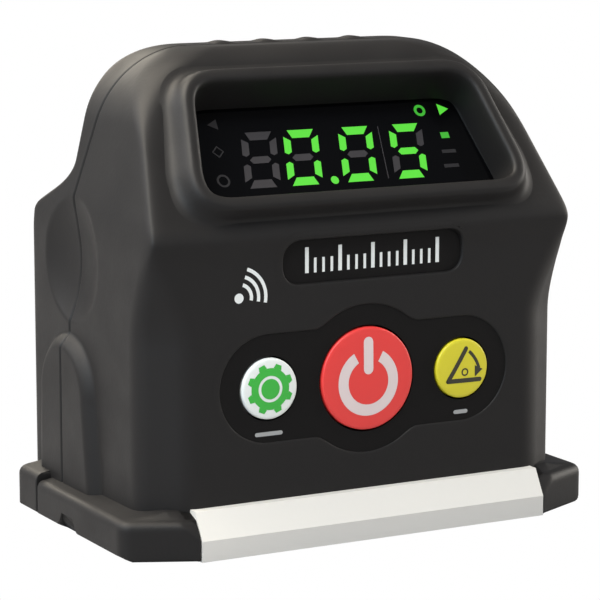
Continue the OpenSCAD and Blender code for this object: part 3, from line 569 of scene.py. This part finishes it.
def blockPart(s, front):  # rings of (height, inset) for foot, wall and rolled edge, then straight up the roof
    x, inside, top = block["x"], block["inner"], block["frontTop" if front else "rearTop"]
    cut = blockEdge(np.array([inside, x]), 0.0)
    seam = block["seam"] - block["gap"] if front else block["seam"] + block["gap"]
    if front:
        corners = [(inside, -cut[0]), (x, -cut[1]), (x, seam), (inside, seam)]
        radii = [block["innerR"], block["cornerR"], block["seamR"], block["innerR"]]
    else:
        corners = [(inside, seam), (x, seam), (x, cut[1]), (inside, cut[0])]
        radii = [block["innerR"], block["seamR"], block["cornerR"], block["innerR"]]
    loop = roundedLoop(corners, radii, 8, 0.3)
    n = loopNormals(loop)
    atSeam = n[:, 1] > 0.01 if front else n[:, 1] < -0.01
    notch = np.clip((block["notchHalf"] - np.abs(loop[:, 1])) / block["notchRun"], 0, 1)
    low = block["lift"] + block["notchUp"] * notch
    wallTop = top - block["roll"]
    rows = [(low, 0.22), (low + 0.06, 0.08), (low + 0.18, 0.0)]
    rows += [(mix(low + 0.3, wallTop, t), 0.0) for t in np.linspace(0, 1, 13)]
    rows += [(np.full_like(low, wallTop + block["roll"] * sinD(a)), block["roll"] * (1 - cosD(a)))
             for a in (18, 36, 54, 72, 90)]
    rings = []
    for z, inset in rows:
        p = loop - n * inset
        p[atSeam, 0] = np.minimum(loop[atSeam, 0], x - inset)  # the seam's edge stays crisp
        p[atSeam, 1] = loop[atSeam, 1] - n[atSeam, 1] * block["seamShare"] * inset
        limit = blockEdge(p[:, 0], z) - block["edgeShare"] * inset
        rings.append(np.column_stack([np.minimum(p[:, 0], blockSide(z)), np.clip(p[:, 1], -limit, limit), z]))
    edge = rings[-1]
    goal = np.column_stack([np.minimum(edge[:, 0], block["roofX"]),
                            np.clip(edge[:, 1], -block["roofFront"], block["roofRear"]),
                            np.full(len(loop), top + block["peak"])])
    rings += [mix(edge, goal, t) for t in np.linspace(0, 1, 7)[1:]]
    pts = np.array(rings)
    count = len(loop)
    faces = gridFaces(*pts.shape[:2], wrapV=True, flip=(s > 0)).tolist()
    bottom, roof = list(range(count)), [(len(pts) - 1) * count + i for i in range(count)]
    faces += [bottom[::-1], roof] if s > 0 else [bottom, roof[::-1]]
    return pts * np.array([s, 1, 1]), faces


for front, shell in ((True, "front"), (False, "rear")):
    verts, faces = joinParts([blockPart(s, front) for s in (-1, 1)])
    addPiece("block_" + shell, verts, faces, matHousing)
print("blocks done")


# keypad: lip of the recess, overlay, keys and their signs
def onFront(x, z, out):  # out of the front face, z from the row of keys
    return np.stack(np.broadcast_arrays(x, -body["front"] - out, keypad["z"] + z), -1)


padSpan = keypad["x"] + keypad["end"]
padX = padSpan * np.cos(np.linspace(0, np.pi, 220))
padHalf = keypadHalf(padX, 0)
padLoop = np.vstack([pair(padX, padHalf), pair(-padX, -padHalf)[1:-1]])
lipProfile = np.array([  # (outward, out of the face)
    (0.85, 0.012), (0.2, 0.012), (0.08, -0.005), (0.0, -0.06), (-0.03, -0.15), (-0.05, -0.4)])
lipXZ = sweepRound(padLoop, lipProfile)
lipPts = onFront(lipXZ[..., 0], lipXZ[..., 1], np.broadcast_to(lipProfile[None, :, 1], lipXZ.shape[:2]))
addPiece("keypad_lip", lipPts, gridFaces(*lipPts.shape[:2], wrapU=True, flip=True), matHousing)

film = dict(inset=0.02, depth=0.12, keyGap=0.35, across=160, up=48)
filmX = (padSpan - film["inset"]) * np.sin(np.linspace(-1, 1, film["across"]) * np.pi / 2)
filmZ = keypadHalf(filmX, -film["inset"])[:, None] * np.linspace(-1, 1, film["up"])[None]
filmX = np.repeat(filmX[:, None], film["up"], 1)
filmPts = onFront(filmX, filmZ, np.full_like(filmZ, -film["depth"])).reshape(-1, 3)
filmFaces = gridFaces(*filmX.shape)
clear = insideKey(filmX, filmZ).ravel() < -film["keyGap"]
filmFaces = filmFaces[clear[filmFaces].all(1)]  # open where the keys pass
used, filmFaces = np.unique(filmFaces, return_inverse=True)
addPiece("keypad_film", filmPts[used], filmFaces.reshape(-1, 4), matOverlay, slotName="overlay",
         replaced=("keypad_overlay",))

# keys: a skirt with a rounded edge, a shallow dome, and a collar and wall in the overlay round each
keyDome = dict(edge=0.3, rise=0.18, height=0.1)
keyEdge = np.array([(0, -1.2), (0, -0.05), (-0.02, 0.04), (-0.08, 0.11), (-0.18, 0.16)])
keyHole = np.array([(1.15, -0.113), (0.2, -0.113), (0.19, -0.14), (0.19, -1.75)])


def domeOut(q2):  # height of the dome, from the square of the share of its radius
    return keyDome["rise"] + keyDome["height"] * (1 - q2)


def turned(profile, cx, n=96):  # profile of (radius, out) turned about an axis out of the front face
    a = np.linspace(0, 2 * np.pi, n, endpoint=False)
    closed = profile[-1, 0] == 0
    r, h = (profile[:-1] if closed else profile).T
    x = cx + np.cos(a)[:, None] * r[None]
    z = np.sin(a)[:, None] * r[None]
    verts = onFront(x, z, np.broadcast_to(h[None], x.shape)).reshape(-1, 3)
    faces = gridFaces(n, len(r), wrapU=True).tolist()
    if closed:
        verts = np.vstack([verts, onFront(cx, 0, profile[-1, 1])[None]])
        last = np.arange(n) * len(r) + len(r) - 1
        faces += np.column_stack([last, np.roll(last, -1), np.full(n, n * len(r))]).tolist()
    return verts, faces


for name, k in keys.items():
    q = np.linspace(1, 0, 10)
    dome = pair((k["r"] - keyDome["edge"]) * q, domeOut(q ** 2))
    verts, faces = turned(np.vstack([keyEdge + [k["r"], 0], dome]), k["x"])
    addPiece(name + "_cap", verts, faces, k["look"], name + "_key", k["slot"], replaced=(name + "_key",))
    gapVerts, gapFaces = turned(keyHole + [k["r"], 0], k["x"])
    addPiece(name + "_gap", gapVerts, gapFaces, matOverlay, "housing", "overlay")


def arcStrip(r0, r1, a0, a1, n):  # flat ring sector, angles anticlockwise from +x
    whole = a1 - a0 == 360
    a = np.radians(np.linspace(a0, a1, n, endpoint=not whole))
    r = np.linspace(r0, r1, 4)
    points = pair(np.cos(a)[:, None] * r[None], np.sin(a)[:, None] * r[None])
    return points, gridFaces(n, 4, wrapU=whole, flip=True)


def barStrip(p, q, w, taper=1.0):  # flat bar from p to q, w wide, narrowing to the share taper
    p, q = np.array(p, float), np.array(q, float)
    d = (q - p) / np.linalg.norm(q - p)
    side = np.array([-d[1], d[0]]) * w / 2
    t = np.linspace(0, 1, 8)[:, None, None]
    s = np.linspace(-1, 1, 4)[None, :, None] * mix(1, taper, t)
    return p + (q - p) * t + side * s, gridFaces(8, 4, flip=True)


def discStrip(cx, cz, r, n=24):  # rings round a middle point
    a = np.linspace(0, 2 * np.pi, n, endpoint=False)
    q = np.linspace(1, 0.25, 4)
    rings = pair(np.cos(a)[:, None] * q, np.sin(a)[:, None] * q).reshape(-1, 2)
    faces = gridFaces(n, 4, wrapU=True).tolist() + [[i * 4 + 3, (i + 1) % n * 4 + 3, n * 4] for i in range(n)]
    return np.vstack([rings, [(0, 0)]]) * r + (cx, cz), faces


def endCap(p, a, r):  # half disc at p that points to the angle a
    t = np.radians(np.linspace(a - 90, a + 90, 14))
    edge = pair(np.cos(t), np.sin(t)) * r
    return np.vstack([edge, [(0, 0)]]) + np.array(p), [[i, i + 1, 14] for i in range(13)]


def roundBar(p, q, w):  # bar with round ends
    a = np.degrees(np.arctan2(q[1] - p[1], q[0] - p[0]))
    return [barStrip(p, q, w), endCap(p, a + 180, w / 2), endCap(q, a, w / 2)]


def shifted(part, dx, dz):  # the same flat shape elsewhere
    return part[0] + np.array([dx, dz]), part[1]


def printOnKey(name, parts, key, look):  # flat shapes laid on a key's dome
    k = keys[key]
    lifted = []
    for p, f in parts:
        q2 = np.clip((p[..., 0] ** 2 + p[..., 1] ** 2) / (k["r"] - keyDome["edge"]) ** 2, 0, 1)
        lifted.append((onFront(k["x"] + p[..., 0], p[..., 1], domeOut(q2) + printLift), f))
    verts, faces = joinParts(lifted)
    return addPiece(name, verts, faces, look, key + "_key", k["slot"])


def printOnFace(name, parts, look, out=printLift, slotName="housing"):  # flat shapes, all as far out
    verts, faces = joinParts([(onFront(p[..., 0], p[..., 1] - keypad["z"], np.full(p.shape[:-1], out)), f)
                              for p, f in parts])
    return addPiece(name, verts, faces, look, "housing", slotName)


powerSign = dict(ring=(2.32, 3.48), span=(119, 421), drop=-0.35, barLow=(0, 1.0), barHigh=(0, 3.75),
                 barWide=1.1)
powerParts = [shifted(arcStrip(*powerSign["ring"], *powerSign["span"], 72), 0, powerSign["drop"])]
powerParts += roundBar(powerSign["barLow"], powerSign["barHigh"], powerSign["barWide"])
printOnKey("power_sign", powerParts, "power", matPrintPink)

gear = dict(ring=(1.34, 2.12), hub=1.04, teeth=8, toothFrom=2.1, toothTo=2.56, toothWide=0.92, taper=0.72)
gearParts = [arcStrip(*gear["ring"], 0, 360, 64), discStrip(0, 0, gear["hub"], 40)]
for a in (np.arange(gear["teeth"]) + 0.5) * 360 / gear["teeth"]:
    way = np.array([cosD(a), sinD(a)])
    foot, tip = gear["toothFrom"] * way, gear["toothTo"] * way
    gearParts.append(barStrip(foot, tip, gear["toothWide"], gear["taper"]))
printOnKey("hold_sign", gearParts, "hold", matPrintGreen)

angle = dict(corner=(-1.75, -1.25), legEnd=(2.1, -1.3), armEnd=(0.4, 2.05), wide=0.48, arc=(3.72, 4.08),
             span=(17, 50), ring=(0.26, 0.42), ringAt=(0.25, -0.4), tip=((1.95, -0.02), (1.5, -0.95)),
             tipWide=1.1, tipTaper=0.05)
angleParts = roundBar(angle["corner"], angle["legEnd"], angle["wide"])
angleParts += roundBar(angle["corner"], angle["armEnd"], angle["wide"])
angleParts += [shifted(arcStrip(*angle["arc"], *angle["span"], 24), *angle["corner"]),
               shifted(arcStrip(*angle["ring"], 0, 360, 28), *angle["ringAt"]),
               barStrip(*angle["tip"], angle["tipWide"], angle["tipTaper"])]
printOnKey("zero_sign", angleParts, "zero", matPrintDark)
print("keypad done")

# front face: name plate with a plain scale, wireless arcs, a bar under each side key
plateLoop = roundedLoop([(plate["x"] + i * plate["half"], plate["low"] if k < 0 else plate["high"])
                         for i, k in ((-1, -1), (1, -1), (1, 1), (-1, 1))], [plate["r"]] * 4, 14, 0.4)
plateProfile = np.array([  # (outward, share of the way from the face to the floor)
    (0.85, 0.0), (0.2, 0.0), (0.06, 0.03), (-0.02, 0.16), (-0.08, 0.5), (-0.1, 1.0)])
plateXZ = sweepRound(plateLoop, plateProfile)
plateY = mix(frontAt(plateXZ[..., 1]) - lipProfile[0, 1], -plate["floor"], plateProfile[None, :, 1])
platePts = np.stack([plateXZ[..., 0], plateY, plateXZ[..., 1]], -1)
addPiece("plate_lip", platePts, gridFaces(*platePts.shape[:2], wrapU=True, flip=True), matHousing)
floorXZ = mix(plateMid, plateLoop[:, None], np.linspace(1, 0.02, 8)[None, :, None])
floorPts = np.stack([floorXZ[..., 0], np.full(floorXZ.shape[:2], -plate["floor"]), floorXZ[..., 1]], -1)
count = len(plateLoop)
floorFaces = gridFaces(count, 8, wrapU=True, flip=True).tolist() + [[i * 8 + 7 for i in range(count)]]
addPiece("plate_floor", floorPts, floorFaces, matOverlay)

scale = dict(low=27.4, pitch=0.95, perSide=8, longEach=4, long=2.6, longWide=0.42, short=1.5, shortWide=0.3)
ticks = []
for i in range(-scale["perSide"], scale["perSide"] + 1):
    x, kind = plate["x"] + i * scale["pitch"], "short" if i % scale["longEach"] else "long"
    ticks.append(barStrip((x, scale["low"]), (x, scale["low"] + scale[kind]), scale[kind + "Wide"]))
printOnFace("plate_scale", ticks, matPrint, out=plate["floor"] - body["front"] + printLift)

radio = dict(at=(-14.6, 25.5), dot=0.5, arcs=(1.2, 2.0, 2.8), wide=0.36, span=(-12, 72))
radioParts = [discStrip(*radio["at"], radio["dot"])]
for r in radio["arcs"]:
    radioParts.append(shifted(arcStrip(r, r + radio["wide"], *radio["span"], 24), *radio["at"]))
printOnFace("radio_sign", radioParts, matPrint)

keyBars = dict(z=11.55, hold=(-12.6, -9.9), zero=(10.6, 11.9), wide=0.42, out=-0.1)
barParts = []
for key in ("hold", "zero"):
    barStart, barEnd = keyBars[key]
    barParts += roundBar((barStart, keyBars["z"]), (barEnd, keyBars["z"]), keyBars["wide"])
printOnFace("key_bars", barParts, matPrintGrey, out=keyBars["out"], slotName="overlay")
print("signs done")

# display: four slanted digits of seven segments, and small marks, just in front of the window
digit = dict(height=6.35, width=4.0, bar=0.92, gap=0.28, slant=10.8, low=5.25, h=-2.37)
w, t, hh, g = digit["width"], digit["bar"], digit["height"], digit["gap"]
mid, waist = hh / 2, t * 0.42
topBar = [(g + 0.2, hh), (w - g - 0.2, hh), (w - t - 0.1, hh - t), (t + 0.1, hh - t)]
upperLeft = [(0, hh - g - 0.45), (t - 0.12, hh - t - g), (t - 0.12, mid + t * 0.4 + 0.3),
             (t * 0.45, mid + g + 0.15), (0, mid + g + 0.35)]
midBar = [(t * 0.85, mid), (t * 1.25, mid + waist), (w - t * 1.25, mid + waist), (w - t * 0.85, mid),
          (w - t * 1.25, mid - waist), (t * 1.25, mid - waist)]


def flipDown(shape):  # mirrored about the middle of the digit
    return [(x, hh - v) for x, v in shape][::-1]


def flipOver(shape):  # mirrored from the left side of the digit to the right
    return [(w - x, v) for x, v in shape][::-1]


lowerLeft = flipDown(upperLeft)
segPoints = dict(a=topBar, d=flipDown(topBar), f=upperLeft, e=lowerLeft, b=flipOver(upperLeft),
                 c=flipOver(lowerLeft), g=midBar)


def windowFaces(shapes, x0=0.0, v0=0.0, slant=0.0):  # flat polygons just in front of the window
    parts = []
    for s in shapes:
        p = np.array(s, float)
        area = np.sum(p[:, 0] * np.roll(p[:, 1], -1) - np.roll(p[:, 0], -1) * p[:, 1])
        p = p if area > 0 else p[::-1]
        x = x0 + p[:, 0] + p[:, 1] * tanD(slant)
        parts.append((onSlope(x, v0 + p[:, 1], np.full(len(p), digit["h"])), [list(range(len(p)))]))
    return parts


def windowRing(cx, cv, r0, r1, n=28):  # flat ring in the same plane
    p, f = shifted(arcStrip(r0, r1, 0, 360, n), cx, cv)
    return [(onSlope(p[..., 0], p[..., 1], np.full(p.shape[:-1], digit["h"])), f)]


def discShape(cx, cv, r, n=24):  # outline of a disc
    a = np.linspace(0, 2 * np.pi, n, endpoint=False)
    return pair(cx + r * np.cos(a), cv + r * np.sin(a))


def boxShape(x0, v0, x1, v1):  # outline of an upright box
    return [(x0, v0), (x1, v0), (x1, v1), (x0, v1)]


lit, dim, unlit, faint = [], [], [], []
for x0, on in ((-11.2, ""), (-6.36, "abcdef"), (0.05, "abcdef"), (6.1, "acdfg")):
    for name, shape in segPoints.items():
        (lit if name in on else unlit).extend(windowFaces([shape], x0, digit["low"], digit["slant"]))

# point, degree ring, arrow, bar and stroke; then what is unlit at both sides
lit += windowFaces([discShape(-0.91, 5.61, 0.45)])
dim += windowRing(11.63, 13.07, 0.36, 0.68)
lit += windowFaces([[(13.9, 13.75), (13.9, 12.4), (15.15, 13.1)]])
dim += windowFaces([boxShape(13.2, 9.65, 14.2, 10.35)])
unlit += windowFaces([[(5.3, 5.4), (5.4, 5.4), (6.05, 11.5), (5.95, 11.5)]])
faint += windowFaces([[(-12.3, 13.3), (-12.3, 12.1), (-13.4, 12.7)]]) + windowRing(-13.42, 6.32, 0.5, 0.72)
faint += windowRing(-13.08, 9.6, 0.5, 0.68, 4)
faint += windowFaces([boxShape(12.7, 7.9, 14.4, 8.3), boxShape(12.4, 6.2, 14.2, 6.6)])
for name, shapes, look in (("segments_lit", lit, matLit), ("segments_dim", dim, matDim),
                           ("segments_unlit", unlit, matUnlit), ("marks_faint", faint, matFaint)):
    verts, faces = joinParts(shapes)
    addPiece(name, verts, faces, look, "housing", "display", flat=True)
print("display done")


# stage, light and camera, in metres
def whiteToCamera(tree, lit, white, out):  # the camera sees white, and everything else the lit surface
    path, pick = tree.nodes.new("ShaderNodeLightPath"), tree.nodes.new("ShaderNodeMixShader")
    tree.links.new(path.outputs["Is Camera Ray"], pick.inputs["Fac"])
    tree.links.new(lit.outputs[0], pick.inputs[1])
    tree.links.new(white.outputs[0], pick.inputs[2])
    tree.links.new(pick.outputs["Shader"], out.inputs["Surface"])


stage = dict(half=3, z=-0.0002, grey=(0.32, 0.32, 0.33, 1), sky=(0.75, 0.8, 0.9, 1), skyStrength=0.19)
floorMesh = bpy.data.meshes.new("floor")
floorMesh.from_pydata([(x * stage["half"], y * stage["half"], stage["z"])
                       for x, y in ((-1, -1), (1, -1), (1, 1), (-1, 1))], [], [(0, 1, 2, 3)])
floor = bpy.data.objects.new("floor", floorMesh)
bpy.context.scene.collection.objects.link(floor)
floorLook = bpy.data.materials.new("floor")
floorLook.use_nodes = True
floorTree = floorLook.node_tree
floorTree.nodes.clear()
grey = floorTree.nodes.new("ShaderNodeBsdfDiffuse")
grey.inputs["Color"].default_value = stage["grey"]
white = floorTree.nodes.new("ShaderNodeEmission")
whiteToCamera(floorTree, grey, white, floorTree.nodes.new("ShaderNodeOutputMaterial"))
floorMesh.materials.append(floorLook)

world = bpy.data.worlds.new("studio")
bpy.context.scene.world = world
world.use_nodes = True
worldTree = world.node_tree
worldTree.nodes.clear()
sky = worldTree.nodes.new("ShaderNodeBackground")
sky.inputs["Color"].default_value = stage["sky"]
sky.inputs["Strength"].default_value = stage["skyStrength"]
white = worldTree.nodes.new("ShaderNodeBackground")
white.inputs["Color"].default_value = (1, 1, 1, 1)
whiteToCamera(worldTree, sky, white, worldTree.nodes.new("ShaderNodeOutputWorld"))


def areaLight(name, place, aim, size, power, color):  # rectangular lamp turned to its aim
    data = bpy.data.lights.new(name, "AREA")
    data.shape = "RECTANGLE"
    data.size, data.size_y = size
    data.energy = power
    data.color = color
    lamp = bpy.data.objects.new(name, data)
    lamp.location = place
    lamp.rotation_mode = "QUATERNION"
    lamp.rotation_quaternion = (Vector(aim) - Vector(place)).to_track_quat("-Z", "Y")
    bpy.context.scene.collection.objects.link(lamp)


areaLight("top_warm", (-0.18, 0.1, 0.42), (0, 0, 0.03), (0.4, 0.3), 4.4, (1, 0.91, 0.77))
areaLight("high_front", (-0.2, -0.2, 0.5), (0, 0, 0.03), (0.3, 0.3), 2.4, (1, 0.97, 0.92))
areaLight("rear_warm", (0.02, 0.55, 0.26), (0, 0, 0.04), (0.25, 0.2), 1.1, (1, 0.92, 0.78))
areaLight("left_rear", (-0.42, 0.33, 0.34), (0, 0, 0.025), (0.3, 0.35), 1.9, (0.97, 0.98, 1))
areaLight("left_cool", (-0.42, -0.18, 0.28), (0, 0, 0.03), (0.36, 0.3), 2.2, (0.72, 0.86, 1))
areaLight("right_soft", (0.5, -0.02, 0.16), (0, 0, 0.03), (0.3, 0.3), 2.4, (1, 0.95, 0.88))
areaLight("front_fill", (0.2, -0.58, 0.24), (0, 0, 0.02), (0.5, 0.35), 0.6, (1, 0.98, 0.95))

# azimuth is from the front, distance and target are in millimetres, focal is in pixels of the photograph
view = dict(azimuth=-28.646, elevation=9.528, distance=282.659, target=(-0.091, 0, 22.125), focal=2677.641,
            photoWide=600, sensor=36)
camData = bpy.data.cameras.new("camera")
camData.sensor_width = view["sensor"]
camData.lens = view["focal"] / view["photoWide"] * view["sensor"]
cam = bpy.data.objects.new("camera", camData)
bpy.context.scene.collection.objects.link(cam)
toEye = Vector((sinD(view["azimuth"]) * cosD(view["elevation"]),
                -cosD(view["azimuth"]) * cosD(view["elevation"]), sinD(view["elevation"])))
cam.location = Vector(view["target"]) * mm + toEye * view["distance"] * mm
cam.rotation_mode = "QUATERNION"
cam.rotation_quaternion = (-toEye).to_track_quat("-Z", "Y")
camData.clip_start, camData.clip_end = 0.01, 20
bpy.context.scene.camera = cam
bpy.context.scene.view_settings.view_transform = "Standard"
